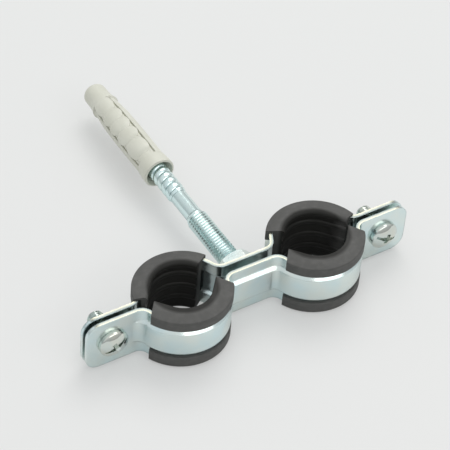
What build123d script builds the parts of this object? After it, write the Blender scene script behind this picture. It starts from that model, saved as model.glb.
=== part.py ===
from build123d import *
import os
from math import atan2, cos, degrees, radians, sin, sqrt, tan

os.makedirs("parts", exist_ok=True)

# Twin rubber-lined pipe clamp on an M8 hanger bolt with its wall plug.
# The model is built about the clamp itself: X runs along the straps, Y along the bolt towards
# the wall and Z along the pipes, with Y = 0 on the split plane that holds both pipe axes.
# The finished parts are moved so that the origin lies where the bolt meets the wall.

# ---- Driving dimensions, mm ----------------------------------------------------------------
pipe_spacing = 53.0       # between the two pipe axes
pipe_bore_r = 10.8        # over the ribs of the rubber as assembled, for a 21.3 mm pipe
standoff = 60.5           # split plane to wall surface

# pressed steel straps
band_w = 20.0             # width along the pipes
sheet_t = 1.2
ring_shift = 0.9          # each half ring's centre lies this far beyond the split plane
fold_r = 3.6              # inside radius of the folds beside the rings
ear_gap = 1.8             # between the two straps at the ears
ear_reach = 37.5          # pipe axis to ear tip
ear_corner_r = 5.0
emboss_h = 1.2            # height of the pressed centre panel
emboss_w = 11.6           # width of that panel, over its 45 degree shoulders
shoulder_run_in = 0.1     # how far the sloping shoulders are carried into the flat sheet

# rubber linings
lining_t = 4.4            # from the bore to the band
lip_t = 1.4               # outer lip over the band's edge
lip_drop = 3.6            # how far the lip reaches down from the band's edge
crown_t = 1.2             # rubber over the band's edge
rib_count = 3
rib_pitch = 5.6
rib_height = 0.6
rib_crest = 1.2           # width of a rib
flare_deg = 40.0          # the bore opens out along a tangent past this angle
front_end = (0.1, 51.0)   # where a lining is cut: distance from the split plane at the bore,
back_ear_end = (-0.3, 24.0)     # and the slope of the cut in degrees
back_bridge_end = (7.0, 33.0)

# clamping screws, M6 with pan heads
screw_inset = 9.7         # ear tip to screw axis
screw_r = 3.0
screw_len = 12.9          # under the head
screw_bevel = 0.6         # at the screw's tip
head_seat_gap = 0.05      # under the head
head_r = 5.3
head_h = 3.4
head_rim = 2.9            # straight side of the head
head_face_r = 4.7         # flat top, inside the sloping edge
slot_w = 1.2
slot_len = 8.6
cross_len = 5.2
recess_depth = 1.8
slot_turns = {"left_screw": 28.0, "right_screw": -22.0}    # how the slots happen to lie
screw_clear = 0.3         # radial, in the front ear
collar_r = 4.3            # drawn and tapped collar behind the back ear
collar_h = 1.6

# hanger bolt and weld nut
bolt_r = 3.95             # over the M8 thread
nut_r = 4.0               # the nut's thread, modelled plain
nut_flats = 13.0
nut_h = 6.3
nut_turn = 16.0           # how it happened to be welded: a corner's angle from +X towards +Z
nut_cone_deg = 30.0
nut_face_share = 0.97     # face diameter over the width across flats
bolt_hole_clear = 0.3     # radial, in the strap
bolt_inset = 0.2          # the bolt's end lies this far behind the strap's front face
bolt_chamfer = 0.7
machine_thread_end = 35.5     # distances from the split plane along the bolt
shank_r = 3.1
shank_end = 46.5
wood_r = 3.6              # over the wood thread
neck = 0.4                # length of the cones between the bolt's diameters
bolt_end = 80.0
point_len = 6.0
bolt_point_r = 0.8

# nylon wall plug; stations are distances from its mouth
plug_steps = ((7.8, 5.85), (15.6, 6.35), (21.6, 6.55), (27.3, 6.45), (32.8, 6.2), (40.2, 5.6),
              (50.2, 4.45))     # where each step of the outside ends, its radius
plug_nose_len = 0.8
plug_nose_r = 3.6
plug_bore_r = 4.0
plug_funnel_r = 5.0
plug_funnel_len = 2.0
plug_bore_len = 23.0
plug_core_r = 1.6         # the narrow bore beyond, which the point spreads
plug_core_end = 44.0
slit_start = 6.0          # the slits run from here to the last step
slit_w = 0.8
jaw_centre_deg = 123.0    # middle of the upper ribbed jaw, from +X towards +Z
jaw_span_deg = 90.0
side_steps = ((32.8, 6.0), (40.2, 5.2))       # the plain side jaws, which lie lower
scallop_depth = 0.7       # of the waves along a ribbed jaw's edges, one to each step

# ---- Derived values ------------------------------------------------------------------------
pipe_x = pipe_spacing / 2
ear_tip = pipe_x + ear_reach
screw_x = ear_tip - screw_inset
ring_r = pipe_bore_r + lining_t + sheet_t     # outer face of the band's edges
ear_inner = ear_gap / 2                   # the face towards the split plane
ear_outer = ear_inner + sheet_t
bridge_raised = ear_outer + emboss_h      # outer face of the raised bridge
band_half = band_w / 2
lip_r = ring_r + lip_t
lining_half = band_half + crown_t
thread_clear = nut_r - bolt_r             # radial, wherever a thread turns in its mate
far = 4 * pipe_spacing                    # well outside the part


def closed_face(*groups):
    """The flat face inside a closed run of lines and arcs."""
    return make_face(Wire([edge for group in groups for edge in group]))


def band_line(ring, ear_y, ear_fold, bridge_y, bridge_fold):
    """One face of a half band in plan, from ear tip to ear tip, with its rings towards -Y.
    ring is the radius round each pipe; the ear and bridge lie ear_y and bridge_y in front of
    the split plane and fold into the rings with the radii given."""
    def fold(y, radius):
        depth = ring_shift + y + radius
        reach = sqrt((ring + radius) ** 2 - depth ** 2)
        return reach, degrees(atan2(depth, reach))

    ear_x, ear_deg = fold(ear_y, ear_fold)
    bridge_x, bridge_deg = fold(bridge_y, bridge_fold)
    half = [
        Line((pipe_x - bridge_x, -bridge_y), (0, -bridge_y)),
        CenterArc((pipe_x - bridge_x, -bridge_y - bridge_fold), bridge_fold, bridge_deg,
                  90 - bridge_deg),
        CenterArc((pipe_x, ring_shift), ring, 180 + bridge_deg, 180 - bridge_deg - ear_deg),
        CenterArc((pipe_x + ear_x, -ear_y - ear_fold), ear_fold, 90, 90 - ear_deg),
        Line((pipe_x + ear_x, -ear_y), (ear_tip, -ear_y)),
    ]
    return half + [edge.mirror(Plane.YZ) for edge in half]


def block_behind(line, ear_y, half):
    """Everything behind one face of a band, out to plus and minus half along the pipes."""
    tips = [Line((x, -ear_y), (x, far)) for x in (-ear_tip, ear_tip)]
    back = [Line((-ear_tip, far), (ear_tip, far))]
    return extrude(closed_face(line, tips, back), half, both=True)


def edges_along(solid, line, z):
    """The edges of a solid that lie over a plan line, at plus and minus z."""
    found = []
    for edge in solid.edges():
        middle = edge @ 0.5
        if abs(abs(middle.Z) - z) > 1e-4 or abs((edge @ 0).Z - (edge @ 1).Z) > 1e-4:
            continue
        if min(part.distance_to(Vector(middle.X, middle.Y, 0)) for part in line) < 1e-3:
            found.append(edge)
    return found


def sloping_block(line, ear_y, half, slope):
    """The same, with its two long edges along the line bevelled to 45 degree shoulders."""
    block = block_behind(line, ear_y, half)
    return chamfer(edges_along(block, line, half), slope)


def strap(bridge_outer, bridge_emboss):
    """A pressed half band: flat edges with a raised centre panel round both rings. The bridge's
    edges lie bridge_outer in front of the split plane, its centre panel bridge_emboss."""
    skin_fold = fold_r + sheet_t
    edge_outer = band_line(ring_r, ear_outer, fold_r, bridge_outer, fold_r)
    edge_inner = band_line(ring_r - sheet_t, ear_inner, skin_fold, bridge_outer - sheet_t,
                           skin_fold)
    lift = bridge_emboss - bridge_outer
    panel_ring = ring_r + emboss_h
    panel_outer = band_line(panel_ring, ear_outer, fold_r, bridge_emboss,
                            fold_r + emboss_h - 2 * lift)
    panel_inner = band_line(panel_ring - sheet_t, ear_inner, skin_fold,
                            bridge_emboss - sheet_t, skin_fold + emboss_h - 2 * lift)

    slope = emboss_h + shoulder_run_in
    panel_half = emboss_w / 2 + shoulder_run_in
    hollow_half = panel_half - sheet_t * tan(radians(22.5))
    panel = sloping_block(panel_outer, ear_outer, panel_half, slope)
    hollow = sloping_block(panel_inner, ear_inner, hollow_half, slope)
    inside = block_behind(edge_inner, ear_inner, band_half)
    band = block_behind(edge_outer, ear_outer, band_half) + panel - inside - hollow
    corners = [edge for edge in band.edges().filter_by(Axis.Y)
               if abs(abs(edge.center().X) - ear_tip) < 1e-4]
    corners = [edge for edge in corners if abs(abs(edge.center().Z) - band_half) < 1e-4]
    return fillet(corners, ear_corner_r)


def along_y(radius, start, end, x=0.0):
    """A round bar along the bolt's direction."""
    bar = extrude(Circle(radius), end - start)
    return Pos(x, start, 0) * Rot(-90, 0, 0) * bar


def build_straps():
    front = strap(ear_outer, bridge_raised)
    back = strap(bridge_raised, bridge_raised).mirror(Plane.XZ)
    for x in (-screw_x, screw_x):
        front -= along_y(screw_r + screw_clear, -far, far, x)
        back += along_y(collar_r, ear_inner, ear_outer + collar_h, x)
        back -= along_y(screw_r + thread_clear, -far, far, x)
    back -= along_y(bolt_r + bolt_hole_clear, -far, far)
    return front, back


def lining_ring(x):
    """The lining's section turned right round one pipe, before its bore is cut."""
    inner_r = pipe_bore_r / 2
    foot_z = band_half - lip_drop
    half = [(inner_r, lining_half), (lip_r, lining_half), (lip_r, foot_z), (ring_r, foot_z),
            (ring_r, band_half), (ring_r - sheet_t, band_half)]
    outline = half + [(r, -z) for r, z in reversed(half)]
    section = make_face(Polyline([(r, 0, z) for r, z in outline], close=True))
    return Pos(x, -ring_shift, 0) * revolve(section, Axis.Z)


def bore_cutter(x, flares):
    """The ribbed bore round one pipe. flares lists the sides, -1 or 1, on which the lower
    half's bore runs out along a tangent."""
    top = lining_half * 2
    wall_r = pipe_bore_r + rib_height
    wall = [(wall_r, top)]
    for i in range(rib_count):
        z = ((rib_count - 1) / 2 - i) * rib_pitch
        upper, lower = z + rib_crest / 2, z - rib_crest / 2
        wall += [(wall_r, upper), (pipe_bore_r, upper), (pipe_bore_r, lower), (wall_r, lower)]
    points = [(0, 0, top)] + [(r, 0, z) for r, z in wall + [(wall_r, -top)]] + [(0, 0, -top)]
    cutter = revolve(make_face(Polyline(points, close=True)), Axis.Z)
    tangent = radians(flare_deg)
    start = Vector(pipe_bore_r * cos(tangent), pipe_bore_r * sin(tangent))
    run = Vector(sin(tangent), -cos(tangent)) * pipe_bore_r
    for side in flares:
        corners = [start, start + run, Vector(0, (start + run).Y), Vector(0, start.Y)]
        wedge = make_face(Polyline([(side * p.X, p.Y) for p in corners], close=True))
        cutter += extrude(wedge, top, both=True)
    return Pos(x, 0, 0) * cutter


def lining(side, ear_end, bridge_end, flare_ear, flare_bridge, band):
    """One half lining on the +Y half, on the pipe at side -1 or 1, cut to its ends and to the
    band that it grips."""
    def end_line(end, direction):
        y_at_bore, slope = end
        near, reach = pipe_bore_r / 2, 2 * lip_r
        rise = tan(radians(slope))
        return [(direction * dx, y_at_bore + rise * (dx - pipe_bore_r)) for dx in (near, reach)]

    bridge_side = end_line(bridge_end, -side)
    ear_side = end_line(ear_end, side)
    outline = [bridge_side[0], bridge_side[1], (-side * 2 * lip_r, far), (side * 2 * lip_r, far),
               ear_side[1], ear_side[0]]
    mask = extrude(make_face(Polyline(outline, close=True)), far, both=True)
    x = side * pipe_x
    flares = [side] * flare_ear + [-side] * flare_bridge
    return (lining_ring(x) & (Pos(x, 0, 0) * mask)) - bore_cutter(x, flares) - band


def turned_piece(points):
    """A solid of revolution about the bolt's direction, from (distance, radius) points."""
    outline = [(radius, distance) for distance, radius in points]
    face = make_face(Polyline([(0, outline[0][1])] + outline + [(0, outline[-1][1])], close=True))
    return revolve(face, Axis.Y)


def build_nut():
    """The hexagon, with its corners turned down at the end away from the strap."""
    flat = nut_flats / 2
    corner_r = flat / cos(radians(30))
    rim = flat * nut_face_share
    drop = (corner_r - rim) * tan(radians(nut_cone_deg))
    start, end = bridge_raised, bridge_raised + nut_h
    turned = turned_piece([(start, corner_r), (end - drop, corner_r), (end, rim)])
    hexagon = extrude(RegularPolygon(flat, 6, major_radius=False), nut_h)
    hexagon = Pos(0, start, 0) * Rot(0, -nut_turn, 0) * Rot(-90, 0, 0) * hexagon
    return (turned & hexagon) - along_y(nut_r, -far, far)


def build_bolt():
    start = bridge_raised - sheet_t + bolt_inset
    return turned_piece([
        (start, bolt_r - bolt_chamfer), (start + bolt_chamfer, bolt_r),
        (machine_thread_end - neck, bolt_r), (machine_thread_end, shank_r),
        (shank_end, shank_r), (shank_end + neck, wood_r),
        (bolt_end - point_len, wood_r), (bolt_end, bolt_point_r)])


def build_screw(name, x):
    """A pan-head screw on its ear, with its recess cut in."""
    seat = -ear_outer - head_seat_gap
    top = seat - head_h
    end = seat + screw_len
    blank = turned_piece([(top, head_face_r), (seat - head_rim, head_r), (seat, head_r),
                          (seat, screw_r), (end - screw_bevel, screw_r),
                          (end, screw_r - screw_bevel)])
    bars = [Pos(0, top, 0) * Box(a, recess_depth * 2, b)
            for a, b in ((slot_len, slot_w), (slot_w, cross_len))]
    recess = Rot(0, -slot_turns[name], 0) * (bars[0] + bars[1])
    return Pos(x, 0, 0) * (blank - recess)


def stepped(steps, start):
    """The (distance, radius) points of a stepped outside, from where it starts."""
    points = []
    for end, radius in steps:
        points += [(start, radius), (end, radius)]
        start = end
    return points


def jaw_mask(steps, start):
    """The outline of the two ribbed jaws, seen square on to them: each step bulges out at both
    edges."""
    share = sin(radians(jaw_span_deg / 2))
    edge = []
    for end, radius in steps:
        crest = radius * share
        root = crest - scallop_depth
        edge.append(ThreePointArc((root, start), (crest, (start + end) / 2), (root, end)))
        start = end
    steps_across = [Line(one @ 1, two @ 0) for one, two in zip(edge, edge[1:])]
    half = edge + steps_across
    closing = [Line(end, (-end.X, end.Y)) for end in (edge[0] @ 0, edge[-1] @ 1)]
    outline = closed_face(half, [line.mirror(Plane.YZ) for line in half], closing)
    return extrude(outline, plug_steps[0][1] * 2, both=True)


def build_plug():
    """The stepped outside, with its plain side jaws sunk between the ribbed ones, then the
    slits and the bore."""
    jaw_steps = plug_steps[1:-1]
    slit_end = jaw_steps[-1][0]
    nose_start = plug_steps[-1][0]
    body = turned_piece(stepped(plug_steps, 0.0) + [(nose_start + plug_nose_len, plug_nose_r)])
    outer = plug_steps[0][1] * 2
    sunk = stepped(side_steps, slit_start)
    shell = make_face(Polyline([(r, y) for y, r in sunk] + [(outer, slit_end),
                                                            (outer, slit_start)], close=True))
    body -= revolve(shell, Axis.Y) - jaw_mask(jaw_steps, slit_start)
    for turn in (-jaw_span_deg / 2, jaw_span_deg / 2):
        slit = Pos(0, (slit_start + slit_end) / 2, 0) * Box(outer * 2, slit_end - slit_start, slit_w)
        body -= Rot(0, turn, 0) * slit
    body -= turned_piece([(0, plug_funnel_r), (plug_funnel_len, plug_bore_r),
                          (plug_bore_len, plug_bore_r), (plug_bore_len, plug_core_r),
                          (plug_core_end, plug_core_r)])
    return Pos(0, standoff, 0) * Rot(0, 90 - jaw_centre_deg, 0) * body


front_strap, back_strap = build_straps()
solids = {"front_strap": front_strap, "back_strap": back_strap}
for side_name, side in (("left", -1), ("right", 1)):
    solids[side_name + "_front_lining"] = lining(
        side, front_end, front_end, True, True, front_strap.mirror(Plane.XZ)).mirror(Plane.XZ)
    solids[side_name + "_back_lining"] = lining(
        side, back_ear_end, back_bridge_end, True, False, back_strap)
    solids[side_name + "_screw"] = build_screw(side_name + "_screw", side * screw_x)
solids["weld_nut"] = build_nut()
solids["hanger_bolt"] = build_bolt()
solids["wall_plug"] = build_plug()

for name, solid in solids.items():
    placed = Pos(0, -standoff, 0) * solid
    export_step(placed, "parts/" + name + ".step")
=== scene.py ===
from math import asin, atan2, cos, pi, radians, sin

import bmesh
import bpy
from mathutils import Matrix, Quaternion, Vector


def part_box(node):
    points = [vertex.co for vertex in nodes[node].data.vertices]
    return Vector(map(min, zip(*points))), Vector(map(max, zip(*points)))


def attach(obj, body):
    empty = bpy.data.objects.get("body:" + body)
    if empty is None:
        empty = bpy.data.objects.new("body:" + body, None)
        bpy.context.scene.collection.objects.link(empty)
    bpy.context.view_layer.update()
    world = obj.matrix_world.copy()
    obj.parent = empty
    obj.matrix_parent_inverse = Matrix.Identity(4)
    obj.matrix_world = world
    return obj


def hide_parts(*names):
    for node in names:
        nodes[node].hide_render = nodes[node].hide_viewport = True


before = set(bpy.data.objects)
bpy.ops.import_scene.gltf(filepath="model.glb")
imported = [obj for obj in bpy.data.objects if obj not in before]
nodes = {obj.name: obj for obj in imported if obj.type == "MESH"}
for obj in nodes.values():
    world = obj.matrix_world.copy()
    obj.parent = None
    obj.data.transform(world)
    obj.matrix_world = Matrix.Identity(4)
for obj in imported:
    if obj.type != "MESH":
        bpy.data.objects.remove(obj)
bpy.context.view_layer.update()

# ---- Sizes, metres -------------------------------------------------------------------------
MM = 0.001
same_point = 0.002 * MM           # mesh points closer than this are joined
split_y = -60.5 * MM              # plane between the two strap halves
pipe_x = 26.5 * MM                # the two pipes lie this far to either side
bolt_low, bolt_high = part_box("hanger_bolt")
plug_low, plug_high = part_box("wall_plug")
rubber_low, rubber_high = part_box("left_front_lining")

machine_pitch = 1.25 * MM         # M8
machine_r = (bolt_high.x - bolt_low.x) / 2
machine_depth = 0.72 * MM
machine_bevel = 1.2 * MM          # at the bolt's front end
machine_runout = 1.6 * MM
machine_end = split_y + 35.5 * MM
shank_r = 3.1 * MM
wood_start = split_y + 46.5 * MM
wood_pitch = 3.0 * MM
wood_r = 3.6 * MM
wood_depth = 0.75 * MM
wood_lead = 2.2 * MM              # over which the wood thread rises from the shank
point_start = split_y + 73.0 * MM
point_r = 0.8 * MM

screw_pitch = 1.0 * MM            # M6
screw_r = 3.0 * MM
screw_depth = 0.55 * MM
screw_seat = split_y - 2.15 * MM  # under the heads
screw_tip_bevel = 0.8 * MM
head_rim = 1.5 * MM               # straight side of the head, under its dome
head_edge = 0.5 * MM              # rounding between the two
head_foot = 0.15 * MM             # bevel where the head meets the ear
slot_turns = {"left": 28.0, "right": -22.0}
# each recess: length, width and depth, and the share of the length that is left at its foot
screw_slot = (8.8 * MM, 1.3 * MM, 1.6 * MM, 0.95)
screw_cross = (6.2 * MM, 1.9 * MM, 2.4 * MM, 0.35)
foot_width = 0.7                  # share of the width that is left there

bore_r = 10.8 * MM                # over the ribs of the rubber
wall_r = 11.4 * MM                # between them
rib_pitch = 5.6 * MM
rib_top = 0.35 * MM               # half a rib's width over its flat top
rib_side = 0.75 * MM              # the same a third of the way down
rib_foot = 1.0 * MM               # and at its foot
band_r = 16.4 * MM                # outer face of the strap round a pipe
band_half = 10.0 * MM
sheet = 1.2 * MM
lip_r = 17.8 * MM
lip_foot = 6.4 * MM               # lowest edge of the outer lip, from the middle of the band
lip_edge = 0.35 * MM              # rounding of the lip
crown = rubber_high.z             # top of the rubber over the strap's edge
crown_edge = 10.7 * MM            # the same at the outer edge, to which the crown falls away
mouth_bore_r = 10.55 * MM         # over the last rib, at the crown
full_mouth_r = 10.1 * MM          # the same on the left front lining, which stands fuller
mouth_round = {"front": 0.3 * MM, "back": 1.6 * MM}
mouth_slope = 1.6 * MM            # height over which the last rib rises from the wall
ring_shift = 0.9 * MM             # each half ring's centre lies this far beyond the split plane
flare_deg = 40.0                  # angle from its end at which the bore leaves its circle for
flare_reach_deg = 60.0            # a tangent, and the angle over which it follows that line
overrun_deg = 25.0                # a lining is spun this far past its ends and then cut
lining_steps = 92                 # mesh steps along it
# where a lining is cut: how far from the split plane at the bore, and the cut's slope in degrees
front_cut = (0.1 * MM, 51.0)
back_ear_cut = (-0.3 * MM, 24.0)
back_bridge_cut = (7.0 * MM, 33.0)

# (distance from the plug's mouth, radius): its collar, where each ring of the ribbed jaws ends
# and how wide it is, and the smooth jaws
plug_collar = [(y * MM, r * MM) for y, r in ((0.3, 5.95), (2.0, 6.0), (4.5, 5.8))]
plug_rings = [(y * MM, r * MM) for y, r in
              ((7.8, 5.8), (15.6, 6.4), (21.6, 6.55), (27.3, 6.5), (32.8, 6.3), (40.2, 5.7))]
smooth_jaw = [(y * MM, r * MM) for y, r in
              ((6.0, 5.5), (15.0, 5.6), (24.0, 5.6), (32.0, 5.4), (40.2, 4.6))]
rings_start = 5.0 * MM
groove = 0.45 * MM                # depth between two rings
ring_steps = 12                   # mesh points along a ring
slit_start = 6.0 * MM
slit_end = 40.2 * MM
slit_w = 0.8 * MM
slit_floor = 4.3 * MM
jaw_centre_deg = 123.0            # how far the jaws are turned about the bolt
jaw_half_deg = 40.0               # half the width of a ribbed jaw over its bulges
scallop = 1.1 * MM                # how far its edges draw in between two rings
neck_r = 4.45 * MM
nose_r = 3.0 * MM                 # rounding of the plug's end
mouth_r = 5.25 * MM
funnel = 3.0 * MM                 # depth over which the mouth narrows to the bore
plug_bore_r = 4.0 * MM
plug_bore_end = 23.0 * MM
pilot_r = 1.6 * MM                # the narrow bore beyond, which the point spreads
pilot_end = 44.0 * MM
jaw_steps = 5                     # mesh columns over half a jaw, and over a slit
plug_columns = 4 * 3 * jaw_steps

turn_steps = 48                   # of a round piece and of a turn of thread


# ---- Finishes ------------------------------------------------------------------------------
# a strip's cut edges: dull cut steel darkened as painted shade, and a painted highlight on the
# rim that faces the light
dull_edge_and_painted_shade, painted_edge_highlight = (0.14, 0.19, 0.22), (0.68, 0.66, 0.5)
sheared_rough = 0.2               # how much rougher a sheared edge is than the face
# painted shade in the grooves of the wood thread
painted_groove_shade = (0.12, 0.2, 0.22)
# painted shade inside a lining's bore, darker than the rubber itself
painted_bore_shade = (0.01, 0.01, 0.008)
dust_thin, dust_thick = (0.076, 0.076, 0.073), (0.098, 0.097, 0.093)
nylon_deep, nylon_pale = (0.63, 0.635, 0.55), (0.665, 0.67, 0.59)
table_deep, table_pale = (0.765, 0.775, 0.77), (0.78, 0.785, 0.78)
table_glow = 0.42                 # share of its own light in what the eye sees of the table
glow_in_metal = 0.4               # how much of that share the metal mirrors


class Finish:
    """A material made of nodes on the piece's own coordinates."""

    def __init__(self, name):
        self.material = bpy.data.materials.new(name)
        self.material.use_nodes = True
        self.tree = self.material.node_tree
        self.shader = self.tree.nodes["Principled BSDF"]
        coordinates = self.tree.nodes.new("ShaderNodeTexCoord")
        self.place = coordinates.outputs["Object"]
        self.own_normal = coordinates.outputs["Normal"]

    def link(self, output, socket):
        self.tree.links.new(output, socket)

    def noise(self, feature, detail=3.0, stretch=(1, 1, 1)):
        """Noise whose blotches are about one feature across."""
        mapping = self.tree.nodes.new("ShaderNodeMapping")
        mapping.inputs["Scale"].default_value = stretch
        texture = self.tree.nodes.new("ShaderNodeTexNoise")
        texture.inputs["Scale"].default_value = 1 / feature
        texture.inputs["Detail"].default_value = detail
        self.link(self.place, mapping.inputs["Vector"])
        self.link(mapping.outputs["Vector"], texture.inputs["Vector"])
        return texture.outputs["Fac"]

    def spread(self, value, low, high, out_low, out_high):
        """Maps low..high onto out_low..out_high."""
        node = self.tree.nodes.new("ShaderNodeMapRange")
        for socket, number in zip(("From Min", "From Max", "To Min", "To Max"),
                                  (low, high, out_low, out_high)):
            node.inputs[socket].default_value = number
        self.link(value, node.inputs["Value"])
        return node.outputs["Result"]

    def blend(self, amount, first, second):
        """Mixes two colours, each given as numbers or as another node's output."""
        node = self.tree.nodes.new("ShaderNodeMix")
        node.data_type = "RGBA"
        for socket, colour in ((node.inputs[6], first), (node.inputs[7], second)):
            if isinstance(colour, tuple):
                socket.default_value = (*colour, 1.0)
            else:
                self.link(colour, socket)
        self.link(amount, node.inputs[0])
        return node.outputs[2]

    def bump(self, height, depth, over):
        """Relief as deep as depth, on top of the normal that is given."""
        node = self.tree.nodes.new("ShaderNodeBump")
        node.inputs["Distance"].default_value = depth
        self.link(height, node.inputs["Height"])
        self.link(over, node.inputs["Normal"])
        return node.outputs["Normal"]

    def along(self, vector, axis, low, high):
        """0 to 1 as a place or a normal goes from low to high along an axis."""
        split = self.tree.nodes.new("ShaderNodeSeparateXYZ")
        self.link(vector, split.inputs["Vector"])
        return self.spread(split.outputs[axis], low, high, 0.0, 1.0)

    def raised(self, value, amount, most):
        """Adds most to a value where amount is 1, and a share of it where it is less."""
        node = self.tree.nodes.new("ShaderNodeMath")
        node.operation = "MULTIPLY_ADD"
        self.link(amount, node.inputs[0])
        node.inputs[1].default_value = most
        self.link(value, node.inputs[2])
        return node.outputs[0]

    def distance_from(self, point, across):
        """Distance from a line through a point; across is 0 along the line, 1 square to it."""
        mapping = self.tree.nodes.new("ShaderNodeMapping")
        mapping.inputs["Location"].default_value = [-p * a for p, a in zip(point, across)]
        mapping.inputs["Scale"].default_value = across
        length = self.tree.nodes.new("ShaderNodeVectorMath")
        length.operation = "LENGTH"
        self.link(self.place, mapping.inputs["Vector"])
        self.link(mapping.outputs["Vector"], length.inputs[0])
        return length.outputs["Value"]

    def rounded(self, radius):
        """Softens the edges that the mesh leaves sharp."""
        node = self.tree.nodes.new("ShaderNodeBevel")
        node.inputs["Radius"].default_value = radius
        return node.outputs["Normal"]


def zinc_plate(name, cool, warm, smooth, rough, edge=0.12 * MM, wave=0.01 * MM, highlight_lean=None,
               groove_r=None):
    """Bright zinc plate: metal under a film that shifts a little from cool to warm. A strip's
    cut edges, which face up, turn from a dull dark, partly painted shade, to a painted
    highlight between the two values given for the highlight, which say how far their rounded
    rim leans towards the wall. Nearer than groove_r to its axis the wood thread is painted
    dark, as painted shade in its grooves."""
    finish = Finish(name)
    shader = finish.shader
    shader.inputs["Metallic"].default_value = 1.0
    film = finish.spread(finish.noise(9 * MM), 0.35, 0.65, 0.0, 1.0)
    colour = finish.blend(film, cool, warm)
    cloud = finish.spread(finish.noise(3 * MM, 4.0), 0.35, 0.7, smooth, rough)
    normal = finish.rounded(edge)
    # cut edges: painted dull dark shade, with a painted highlight along the rim that leans
    # towards the light
    if highlight_lean is not None:
        cut = finish.along(finish.own_normal, "Z", 0.9, 0.97)
        line = finish.along(finish.rounded(sheet / 2), "Y", *highlight_lean)
        colour = finish.blend(cut, colour, finish.blend(line, dull_edge_and_painted_shade, painted_edge_highlight))
        cloud = finish.raised(cloud, cut, sheared_rough)
        normal = finish.blend(cut, normal, finish.own_normal)
    # painted shade: the wood thread is drawn dark in its grooves
    if groove_r is not None:
        from_axis = finish.distance_from((0, 0, 0), (1, 0, 1))
        lit = finish.spread(from_axis, groove_r - 0.15 * MM, groove_r, 0.0, 1.0)
        for end, way in ((wood_start, -1), (point_start, 1)):
            beyond = finish.along(finish.place, "Y", end, end + way * MM)
            lit = finish.raised(lit, beyond, 1.0)
        colour = finish.blend(lit, painted_groove_shade, colour)
    finish.link(colour, shader.inputs["Base Color"])
    finish.link(cloud, shader.inputs["Roughness"])
    sway = finish.bump(finish.noise(5 * MM, 1.0), wave, normal)
    grain = finish.bump(finish.noise(0.25 * MM, 3.0), 0.0008 * MM, sway)
    finish.link(grain, shader.inputs["Normal"])
    return finish.material


def black_rubber(name, x):
    """Extruded rubber round the pipe at x: matt and dusty outside, and painted near black in the
    bore as painted shade, with faint drawing lines round it."""
    finish = Finish(name)
    shader = finish.shader
    dust = finish.spread(finish.noise(2.2 * MM, 5.0), 0.45, 0.8, 0.0, 1.0)
    dusty = finish.blend(dust, dust_thin, dust_thick)
    # the bore is painted near black as painted shade; the outside keeps the dusty rubber
    outside = finish.spread(finish.distance_from((x, split_y, 0), (1, 1, 0)),
                            wall_r + 0.3 * MM, wall_r + 1.5 * MM, 0.0, 1.0)
    finish.link(finish.blend(outside, painted_bore_shade, dusty), shader.inputs["Base Color"])
    lines = finish.noise(0.5 * MM, 2.0, stretch=(0.08, 0.08, 1))
    finish.link(finish.spread(lines, 0.3, 0.7, 0.55, 0.7), shader.inputs["Roughness"])
    pores = finish.bump(finish.noise(0.3 * MM, 3.0), 0.01 * MM, finish.rounded(0.2 * MM))
    finish.link(pores, shader.inputs["Normal"])
    shader.inputs["Specular IOR Level"].default_value = 0.4
    return finish.material


def pale_nylon():
    """Moulded nylon: warm pale grey with a soft sheen."""
    finish = Finish("nylon")
    shader = finish.shader
    cloud = finish.spread(finish.noise(6 * MM), 0.35, 0.65, 0.0, 1.0)
    finish.link(finish.blend(cloud, nylon_deep, nylon_pale), shader.inputs["Base Color"])
    finish.link(finish.spread(finish.noise(1.2 * MM), 0.3, 0.7, 0.42, 0.55),
                shader.inputs["Roughness"])
    skin = finish.bump(finish.noise(1.5 * MM, 3.0), 0.012 * MM, finish.rounded(0.3 * MM))
    finish.link(skin, shader.inputs["Normal"])
    return finish.material


def pale_table():
    """A white table that also glows a little, to the eye and in the metal, which softens the
    shadows on it. Its glow lights nothing."""
    finish = Finish("table")
    tone = finish.spread(finish.noise(0.4), 0.3, 0.7, 0.0, 1.0)
    colour = finish.blend(tone, table_deep, table_pale)
    finish.link(colour, finish.shader.inputs["Base Color"])
    finish.shader.inputs["Roughness"].default_value = 0.9
    tree = finish.tree
    glow = tree.nodes.new("ShaderNodeEmission")
    finish.link(colour, glow.inputs["Color"])
    ray = tree.nodes.new("ShaderNodeLightPath")
    seen = finish.raised(ray.outputs["Is Camera Ray"], ray.outputs["Is Glossy Ray"],
                         glow_in_metal)
    share = finish.spread(seen, 0.0, 1.0, 0.0, table_glow)
    mix = tree.nodes.new("ShaderNodeMixShader")
    finish.link(share, mix.inputs[0])
    finish.link(finish.shader.outputs["BSDF"], mix.inputs[1])
    finish.link(glow.outputs["Emission"], mix.inputs[2])
    finish.link(mix.outputs["Shader"], tree.nodes["Material Output"].inputs["Surface"])
    return finish.material


# where the painted highlight lies on each strip's cut edges, as a lean of their rounded rim
highlight_leans = {"front": (0.1, -0.15), "back": (-0.1, 0.15)}
strap_zinc = {half: zinc_plate(half + "_zinc", (0.67, 0.81, 0.83), (0.76, 0.83, 0.8),
                               0.16, 0.24, edge=0.8 * MM, highlight_lean=highlight_lean)
              for half, highlight_lean in highlight_leans.items()}
nut_zinc = zinc_plate("nut_zinc", (0.66, 0.79, 0.78), (0.76, 0.8, 0.76), 0.26, 0.34)
screw_zinc = zinc_plate("screw_zinc", (0.62, 0.69, 0.67), (0.72, 0.72, 0.64), 0.06, 0.12,
                        wave=0.004 * MM)
bolt_zinc = zinc_plate("bolt_zinc", (0.7, 0.87, 0.88), (0.76, 0.89, 0.87), 0.2, 0.28,
                       wave=0.004 * MM, groove_r=3.05 * MM)
rubber = {side: black_rubber(side + "_rubber", x)
          for side, x in (("left", -pipe_x), ("right", pipe_x))}
nylon = pale_nylon()


def dress(piece, material):
    """Gives a piece one finish all over."""
    piece.data.materials.clear()
    piece.data.materials.append(material)


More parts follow.
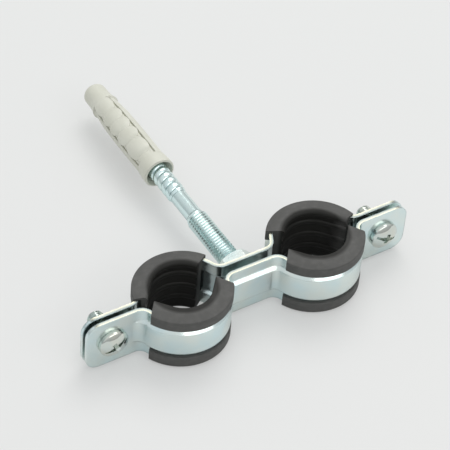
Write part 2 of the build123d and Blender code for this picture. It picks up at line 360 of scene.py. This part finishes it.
# ---- Making pieces -------------------------------------------------------------------------
def piece_from(mesh, name, material, smooth_deg=35.0):
    """A finished object, its place in its mesh, smooth except over sharp edges."""
    bmesh.ops.remove_doubles(mesh, verts=mesh.verts, dist=same_point)
    bmesh.ops.dissolve_degenerate(mesh, edges=mesh.edges, dist=same_point / 2)
    bmesh.ops.recalc_face_normals(mesh, faces=mesh.faces)
    for face in mesh.faces:
        face.smooth = True
    for edge in mesh.edges:
        if len(edge.link_faces) == 2:
            edge.smooth = edge.calc_face_angle(0.0) < radians(smooth_deg)
    data = bpy.data.meshes.new(name)
    mesh.to_mesh(data)
    mesh.free()
    piece = bpy.data.objects.new(name, data)
    bpy.context.collection.objects.link(piece)
    dress(piece, material)
    return piece


def turned(mesh, x, points, steps=turn_steps):
    """Adds a solid of revolution about the bolt's direction from (y, radius) points."""
    ring = [mesh.verts.new((x + r, y, 0)) for y, r in points]
    edges = [mesh.edges.new(pair) for pair in zip(ring, ring[1:])]
    bmesh.ops.spin(mesh, geom=ring + edges, cent=(x, 0, 0), axis=(0, 1, 0), dvec=(0, 0, 0),
                   angle=2 * pi, steps=steps, use_merge=True)


def threaded(mesh, x, pitch, crest, flank, start, end, limit):
    """Adds a thread between start and end as a closed shell. flank lists (share of the pitch,
    depth below the crest) over one pitch; limit(y) is the greatest radius there, which shapes
    the run-outs and comes down to the root at both ends."""
    old = set(mesh.verts)
    turns = int((end - start) / pitch) + 3
    first = start - pitch
    ring = [mesh.verts.new((x + crest - depth, first + share * pitch, 0))
            for share, depth in flank]
    edges = [mesh.edges.new(pair) for pair in zip(ring, ring[1:])]
    bmesh.ops.spin(mesh, geom=ring + edges, cent=(x, 0, 0), axis=(0, 1, 0),
                   dvec=(0, pitch / turn_steps, 0), angle=2 * pi * turns,
                   steps=turn_steps * turns)
    made = [v for v in mesh.verts if v not in old]
    for v in made:
        v.co.y = min(max(v.co.y, start), end)
        away = Vector((v.co.x - x, v.co.z))
        r = min(away.length, limit(v.co.y))
        away = away.normalized() * r
        v.co.x, v.co.z = x + away.x, away.y
    bmesh.ops.remove_doubles(mesh, verts=made, dist=same_point)
    rims = [e for e in mesh.edges if len(e.link_faces) == 1]
    bmesh.ops.holes_fill(mesh, edges=rims)


def sink(piece, cutter):
    """Cuts the cutter's shape into a piece, and removes the cutter."""
    step = piece.modifiers.new("sink", "BOOLEAN")
    step.operation = "DIFFERENCE"
    step.solver = "EXACT"
    step.object = cutter
    graph = bpy.context.evaluated_depsgraph_get()
    result = bpy.data.meshes.new_from_object(piece.evaluated_get(graph))
    piece.modifiers.clear()
    piece.data = result
    bpy.data.objects.remove(cutter)


def stand_for(piece, node, body):
    """Puts a piece in a node's place, on its body."""
    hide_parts(node)
    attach(piece, body)


# ---- Threaded pieces -----------------------------------------------------------------------
def ramp(y, start, end, low, high):
    """Rises from low at start to high at end, and stays level outside them."""
    share = min(max((y - start) / (end - start), 0.0), 1.0)
    return low + (high - low) * share


def hanger_bolt():
    """The stud: machine thread, rolled-down shank, rounded wood thread and point."""
    front = bolt_low.y
    root = machine_r - machine_depth
    wood_root = wood_r - wood_depth
    mesh = bmesh.new()
    turned(mesh, 0, [(front, 0), (front, root - 0.2 * MM), (front + 0.3 * MM, root),
                     (machine_end, root), (machine_end + 0.4 * MM, shank_r),
                     (wood_start, shank_r), (wood_start + 1 * MM, wood_root),
                     (point_start, wood_root), (bolt_high.y, 0)])
    vee = [(0.0, machine_depth), (0.08, machine_depth), (0.44, 0.06 * MM), (0.5, 0.0),
           (0.56, 0.06 * MM), (0.92, machine_depth), (1.0, machine_depth)]

    def machine_limit(y):
        bevel = ramp(y, front, front + machine_bevel, root, machine_r)
        return min(bevel, ramp(y, machine_end - machine_runout, machine_end, machine_r, root))

    threaded(mesh, 0, machine_pitch, machine_r, vee, front, machine_end, machine_limit)
    pillow = [(i / 10, wood_depth * abs(2 * i / 10 - 1) ** 4) for i in range(11)]

    def wood_limit(y):
        lead = ramp(y, wood_start, wood_start + wood_lead, wood_root, wood_r)
        return min(lead, ramp(y, point_start, bolt_high.y, wood_r, point_r))

    threaded(mesh, 0, wood_pitch, wood_r, pillow, wood_start, bolt_high.y - 0.2 * MM, wood_limit)
    bolt = piece_from(mesh, "threaded_bolt", bolt_zinc, 50.0)
    stand_for(bolt, "hanger_bolt", "hanger_bolt")


def recess_bar(length, width, depth, foot_length):
    """A bar that cuts a slot or a pair of arms into a screw head, smaller at its foot."""
    mesh = bmesh.new()
    bmesh.ops.create_cube(mesh, size=1.0)
    bmesh.ops.scale(mesh, verts=mesh.verts, vec=(length, 2 * depth, width))
    foot = [v for v in mesh.verts if v.co.y > 0]
    bmesh.ops.scale(mesh, verts=foot, vec=(foot_length, 1, foot_width))
    return mesh


def clamping_screw(side):
    """A pan-head screw with a slot across a crossed recess."""
    name = side + "_screw"
    low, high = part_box(name)
    x = (low.x + high.x) / 2
    head_r = (high.x - low.x) / 2
    dome_h = screw_seat - low.y - head_rim
    dome_r = (head_r ** 2 + dome_h ** 2) / (2 * dome_h)
    # two points round the head's edge, and the dome from there to its middle
    rim = [(screw_seat - head_rim + head_edge * 0.3, head_r),
           (screw_seat - head_rim - head_edge * 0.25, head_r - head_edge * 0.3)]
    dome = []
    for i in range(10):
        r = (head_r - head_edge) * (1 - i / 9)
        dome.append((low.y + dome_r - (dome_r ** 2 - r ** 2) ** 0.5, r))
    mesh = bmesh.new()
    turned(mesh, x, [(screw_seat, 0), (screw_seat, head_r - head_foot),
                     (screw_seat - head_foot, head_r)] + rim + dome)
    screw = piece_from(mesh, "threaded_" + name, screw_zinc)
    for bar, turn in ((screw_slot, 0), (screw_cross, 0), (screw_cross, 90)):
        cutter = recess_bar(*bar)
        spin = Matrix.Rotation(radians(-slot_turns[side] - turn), 4, "Y")
        cutter.transform(Matrix.Translation((x, low.y, 0)) @ spin)
        sink(screw, piece_from(cutter, "recess", screw_zinc))
    mesh = bmesh.new()
    mesh.from_mesh(screw.data)
    root = screw_r - screw_depth
    turned(mesh, x, [(screw_seat - 0.3 * MM, root), (high.y - 0.1 * MM, root), (high.y, 0)])
    vee = [(0.0, screw_depth), (0.1, screw_depth), (0.45, 0.0), (0.55, 0.0),
           (0.9, screw_depth), (1.0, screw_depth)]

    def limit(y):
        tip = ramp(y, high.y - screw_tip_bevel, high.y, screw_r, root - 0.1 * MM)
        return min(ramp(y, screw_seat, screw_seat + 0.2 * MM, root, screw_r), tip)

    threaded(mesh, x, screw_pitch, screw_r, vee, screw_seat, high.y, limit)
    bpy.data.objects.remove(screw)
    screw = piece_from(mesh, "threaded_" + name, screw_zinc)
    stand_for(screw, name, name)


# ---- Rubber linings ------------------------------------------------------------------------
def lining_section(mouth, rounding):
    """The rubber's closed section as (radius, height) points: ribbed bore, a last rib rounded
    into the crown, the crown falling away outwards, lip over the strap's edge, and the channel
    for the strap."""
    rib = [(bore_r, rib_top), (bore_r + (wall_r - bore_r) / 3, rib_side), (wall_r, rib_foot)]
    half = [(bore_r, 0.0)] + rib
    half += [(r, rib_pitch - z) for r, z in reversed(rib)]
    half += [(r, rib_pitch + z) for r, z in rib]
    half.append((wall_r, crown - rounding - mouth_slope))
    for i in range(7):
        turn = radians(15 * i)
        half.append((mouth + rounding * (1 - cos(turn)),
                     crown - rounding * (1 - sin(turn))))
    half += [(lip_r - 0.5 * MM, crown_edge), (lip_r - 0.2 * MM, crown_edge - 0.1 * MM),
             (lip_r, crown_edge - lip_edge), (lip_r, lip_foot + lip_edge),
             (lip_r - lip_edge, lip_foot), (band_r, lip_foot), (band_r, band_half),
             (band_r - sheet, band_half), (band_r - sheet, 0.0)]
    return half + [(r, -z) for r, z in half[-2:0:-1]]


def rubber_lining(side, half):
    """One half lining. It is shaped with its ear end towards +X and the wall towards +Y."""
    if half == "front":
        ear_cut, bridge_cut, flared = front_cut, front_cut, (1, -1)
    else:
        ear_cut, bridge_cut, flared = back_ear_cut, back_bridge_cut, (1,)
    mouth = full_mouth_r if (side, half) == ("left", "front") else mouth_bore_r
    mesh = bmesh.new()
    overrun = radians(overrun_deg)
    ring = [mesh.verts.new((r * cos(overrun), -r * sin(overrun), z))
            for r, z in lining_section(mouth, mouth_round[half])]
    edges = [mesh.edges.new(pair) for pair in zip(ring, ring[1:] + ring[:1])]
    bmesh.ops.spin(mesh, geom=ring + edges, cent=(0, 0, 0), axis=(0, 0, 1), dvec=(0, 0, 0),
                   angle=pi + 2 * overrun, steps=lining_steps)
    bore_limit = wall_r + mouth_round["back"]
    for v in mesh.verts:
        if Vector((v.co.x, v.co.y)).length > bore_limit:
            v.co.y -= ring_shift
            continue
        for way in flared:
            past = radians(flare_deg) - atan2(v.co.y, way * v.co.x)
            if 0 < past < radians(flare_reach_deg):
                v.co.x /= cos(past)
                v.co.y /= cos(past)
    for way, (start, slope) in ((1, ear_cut), (-1, bridge_cut)):
        across = Vector((way * sin(radians(slope)), -cos(radians(slope)), 0))
        cut = bmesh.ops.bisect_plane(mesh, geom=mesh.verts[:] + mesh.edges[:] + mesh.faces[:],
                                     plane_co=(way * bore_r, start, 0), plane_no=across,
                                     clear_outer=True)
        rim = [e for e in cut["geom_cut"] if isinstance(e, bmesh.types.BMEdge)]
        bmesh.ops.edgeloop_fill(mesh, edges=rim)
    out = 1 if side == "right" else -1
    away = 1 if half == "back" else -1
    bmesh.ops.scale(mesh, verts=mesh.verts, vec=(out, away, 1))
    bmesh.ops.translate(mesh, verts=mesh.verts, vec=(out * pipe_x, split_y, 0))
    lining = piece_from(mesh, f"ribbed_{side}_{half}_lining", rubber[side], 32.0)
    stand_for(lining, f"{side}_{half}_lining", half + "_half")


# ---- Wall plug -----------------------------------------------------------------------------
def between(points, y):
    """The value at y on a run of straight lines through (y, value) points."""
    for (y0, r0), (y1, r1) in zip(points, points[1:]):
        if y <= y1:
            return r0 + (r1 - r0) * (y - y0) / (y1 - y0)
    return points[-1][1]


def plug_outside():
    """The plug's outside over its ribbed jaws as (y, radius) points: collar, rings with a soft
    groove between them, a plain neck and a round nose."""
    length = plug_high.y - plug_low.y
    crests = list(plug_collar)
    start = rings_start
    for end, r in plug_rings:
        crests += [(start + 0.9 * MM, r - 0.12 * MM), (start * 0.4 + end * 0.6, r),
                   (end - 0.9 * MM, r - 0.04 * MM), (end - 0.35 * MM, r - groove * 0.6),
                   (end, r - groove)]
        start = end
    last_r = crests[-1][1]
    step = 0.01 * MM
    fine = [point for point in crests if point[0] < slit_start]
    start = slit_start
    for end, _ in plug_rings[1:]:
        for i in range(ring_steps):
            y = start + (end - start) * i / ring_steps
            fine.append((y + step, between(crests, y)))
        start = end
    fine += [(slit_end, last_r), (slit_end + step, last_r),
             (slit_end + 2 * MM, neck_r + 0.25 * MM), (slit_end + 4.5 * MM, neck_r)]
    for i in range(7):
        turn = radians(90 * i / 7)
        fine.append((length - nose_r * (1 - sin(turn)), neck_r * cos(turn)))
    return fine + [(length, 0)]


def jaw_column(column, y, rib):
    """Angle and radius of a column at y, counted from the middle of a ribbed jaw, where the
    radius is rib, over the slit to the middle of a smooth jaw. The ribbed jaw's edge bulges out
    once for each ring along the slit."""
    smooth = between(smooth_jaw, y)
    half_slit = slit_w / 2 / smooth
    start = slit_start
    for end, _ in plug_rings[1:]:
        if y <= end:
            share = (y - start) / (end - start)
            break
        start = end
    edge = asin(sin(radians(jaw_half_deg)) - scallop / rib * (2 * share - 1) ** 2)
    near, far = radians(45) - half_slit, radians(45) + half_slit
    if column <= jaw_steps:
        return edge * column / jaw_steps, rib
    if column <= 2 * jaw_steps:
        return ((edge, smooth), (near, smooth), (near, slit_floor), (far, slit_floor),
                (far, smooth))[column - jaw_steps - 1]
    return far + (pi / 2 - far) * (column - 2 * jaw_steps) / jaw_steps, smooth


def moulded_plug():
    """Two ribbed jaws with two smooth jaws between them, slits, funnel and bore. The whole is
    turned, and then its outside is pressed in along the slits and the smooth jaws."""
    bore = [(pilot_end, 0), (pilot_end, pilot_r), (plug_bore_end, pilot_r),
            (plug_bore_end, plug_bore_r), (funnel, plug_bore_r), (0.0, mouth_r)]
    mesh = bmesh.new()
    turned(mesh, 0, bore + plug_outside(), plug_columns)
    half_turn = plug_columns // 2
    for v in mesh.verts:
        r = Vector((v.co.x, v.co.z)).length
        if slit_start < v.co.y < slit_end - same_point and r > plug_bore_r + 0.5 * MM:
            k = round(atan2(v.co.z, v.co.x) / (2 * pi) * plug_columns) % plug_columns
            half, k = divmod(k, half_turn)
            angle, r = jaw_column(min(k, half_turn - k), v.co.y, r)
            angle = (angle if k <= half_turn // 2 else pi - angle) + pi * half
            v.co.x, v.co.z = r * cos(angle), r * sin(angle)
    mesh.transform(Matrix.Translation((0, plug_low.y, 0))
                   @ Matrix.Rotation(radians(-jaw_centre_deg), 4, "Y"))
    stand_for(piece_from(mesh, "moulded_plug", nylon, 30.0), "wall_plug", "wall_plug")


# ---- Dress the solids and make the pieces --------------------------------------------------
dress(nodes["back_strap"], strap_zinc["back"])
dress(nodes["front_strap"], strap_zinc["front"])
dress(nodes["weld_nut"], nut_zinc)
for side in ("left", "right"):
    for half in ("front", "back"):
        rubber_lining(side, half)
    clamping_screw(side)
hanger_bolt()
moulded_plug()


# ---- Table, light and camera ---------------------------------------------------------------
table_half = 3.0                  # half its width
clamp_middle = Vector((0, split_y, 0))
horizon, overhead = 0.45, 0.85    # brightness of the room
overhead_from = 0.8               # height from which it is as bright as overhead


def table_top():
    """The clamp lies on it by its linings."""
    mesh = bmesh.new()
    bmesh.ops.create_grid(mesh, x_segments=1, y_segments=1, size=table_half)
    bmesh.ops.translate(mesh, verts=mesh.verts, vec=(0, 0, rubber_low.z))
    top = piece_from(mesh, "table_top", pale_table())


def softbox(name, place, width, height, power, colour):
    """A rectangular lamp that faces the clamp."""
    light = bpy.data.lights.new(name, "AREA")
    light.shape = "RECTANGLE"
    light.size = width
    light.size_y = height
    light.energy = power
    light.color = colour
    lamp = bpy.data.objects.new(name, light)
    lamp.location = place
    lamp.rotation_mode = "QUATERNION"
    lamp.rotation_quaternion = (clamp_middle - Vector(place)).to_track_quat("-Z", "Y")
    bpy.context.collection.objects.link(lamp)


def studio():
    """An even room, brighter overhead than at the horizon."""
    world = bpy.data.worlds.new("studio")
    bpy.context.scene.world = world
    world.use_nodes = True
    tree = world.node_tree
    ground = tree.nodes["Background"]
    place = tree.nodes.new("ShaderNodeTexCoord")
    split = tree.nodes.new("ShaderNodeSeparateXYZ")
    height = tree.nodes.new("ShaderNodeMapRange")
    height.inputs["From Max"].default_value = overhead_from
    height.inputs["To Min"].default_value = horizon
    height.inputs["To Max"].default_value = overhead
    tree.links.new(place.outputs["Generated"], split.inputs["Vector"])
    tree.links.new(split.outputs["Z"], height.inputs["Value"])
    tree.links.new(height.outputs["Result"], ground.inputs["Strength"])
    ground.inputs["Color"].default_value = (0.975, 0.985, 0.99, 1.0)


def camera():
    """Looks down on the clamp from the left of the front."""
    azimuth, elevation, roll = radians(-34.781), radians(44.726), radians(5.067)
    target = Vector((-11.65, 0.0, 32.83)) * MM + clamp_middle
    distance = 699.8 * MM
    focal_px, picture_px = 2125.0, 450.0
    back = Vector((sin(azimuth) * cos(elevation), -cos(azimuth) * cos(elevation),
                   sin(elevation)))
    data = bpy.data.cameras.new("camera")
    data.sensor_width = 36.0
    data.lens = data.sensor_width * focal_px / picture_px
    eye = bpy.data.objects.new("camera", data)
    eye.location = target + back * distance
    eye.rotation_mode = "QUATERNION"
    eye.rotation_quaternion = (-back).to_track_quat("-Z", "Y") @ Quaternion((0, 0, 1), roll)
    bpy.context.collection.objects.link(eye)
    bpy.context.scene.camera = eye


table_top()
studio()
softbox("key", (0.55, 0.55, 1.2), width=0.9, height=0.9, power=7.5, colour=(1.0, 0.985, 0.96))
softbox("front", (0.12, -0.82, 0.62), width=0.9, height=0.3, power=1.2,
        colour=(1.0, 0.99, 0.97))
camera()
bpy.context.scene.view_settings.view_transform = "Standard"
